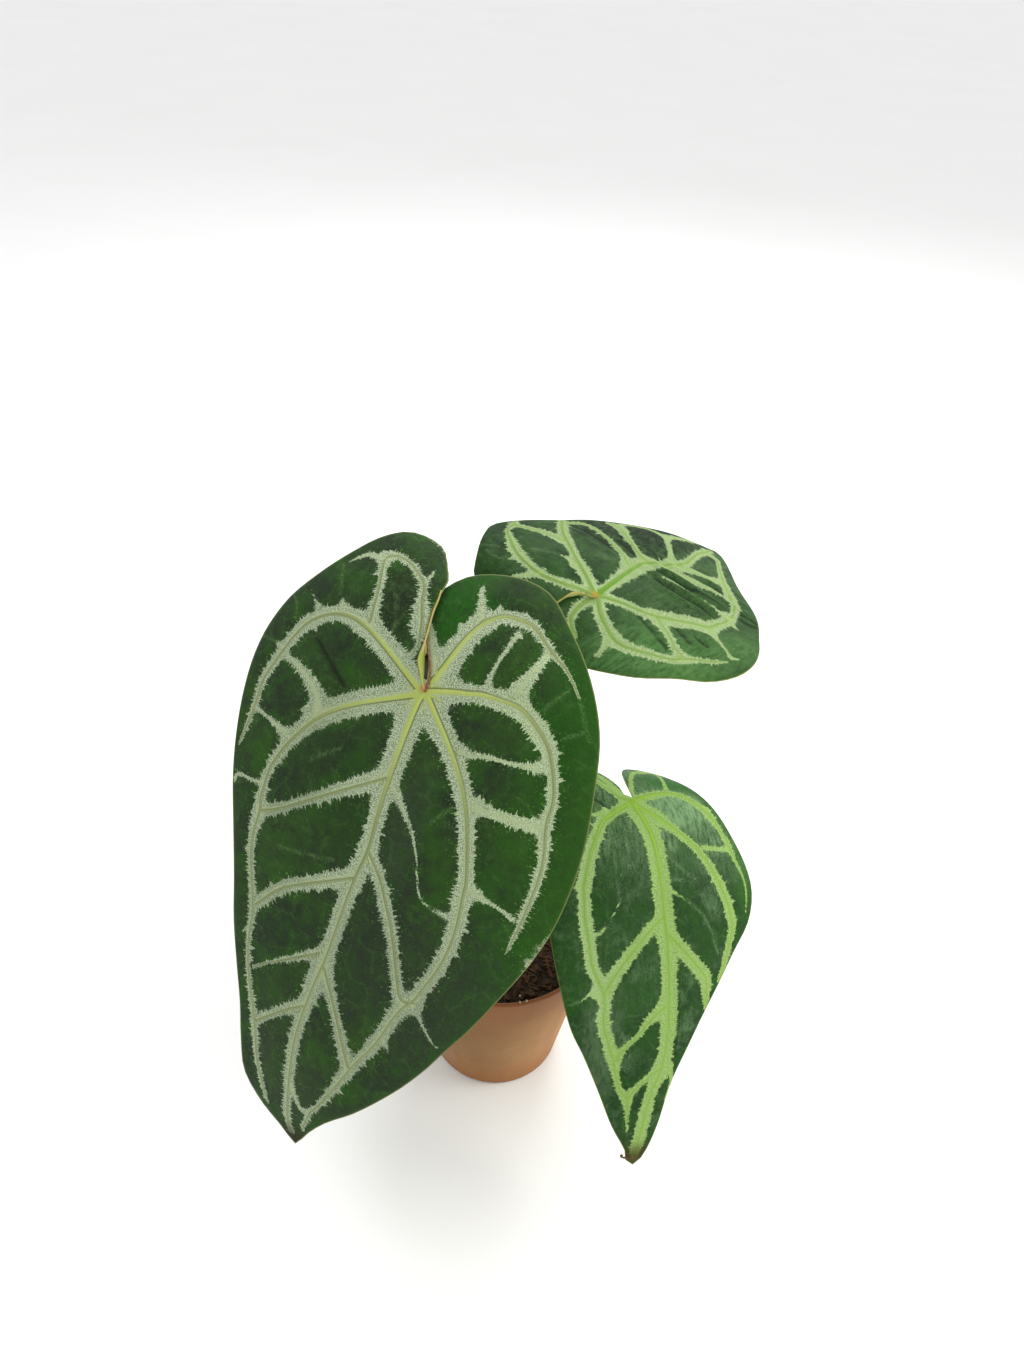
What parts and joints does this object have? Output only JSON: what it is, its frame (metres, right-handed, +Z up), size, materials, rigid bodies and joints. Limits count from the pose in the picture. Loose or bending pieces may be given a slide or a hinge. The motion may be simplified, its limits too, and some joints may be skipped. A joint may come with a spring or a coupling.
{
  "type": "potted plant",
  "caption": "Potted foliage plant: broad heart-shaped leaves with pale netted veins on round stalks, in a filled tapered clay pot.",
  "frame": {"origin": "middle of the pot's flat underside, on the floor", "axes": "+Z up through the pot; the plant faces -Y, with +X to its viewer's right"},
  "size_m": [0.2753, 0.3018, 0.3665],
  "materials": {
    "pot": "unglazed terracotta, matte",
    "potting_mix": "damp bark and fibre mix",
    "stem": "rough green-brown stem",
    "stalk": "smooth green stalk, soft sheen",
    "leaf": "velvety dark green with pale netted veins"
  },
  "bodies": {
    "root": {"pot": "pot", "potting_mix": "potting_mix", "stem": "stem", "stalk_large": "stalk", "stalk_upper": "stalk", "stalk_lower": "stalk", "leaf_large": "leaf", "leaf_upper": "leaf", "leaf_lower": "leaf"}
  },
  "joints": []
}
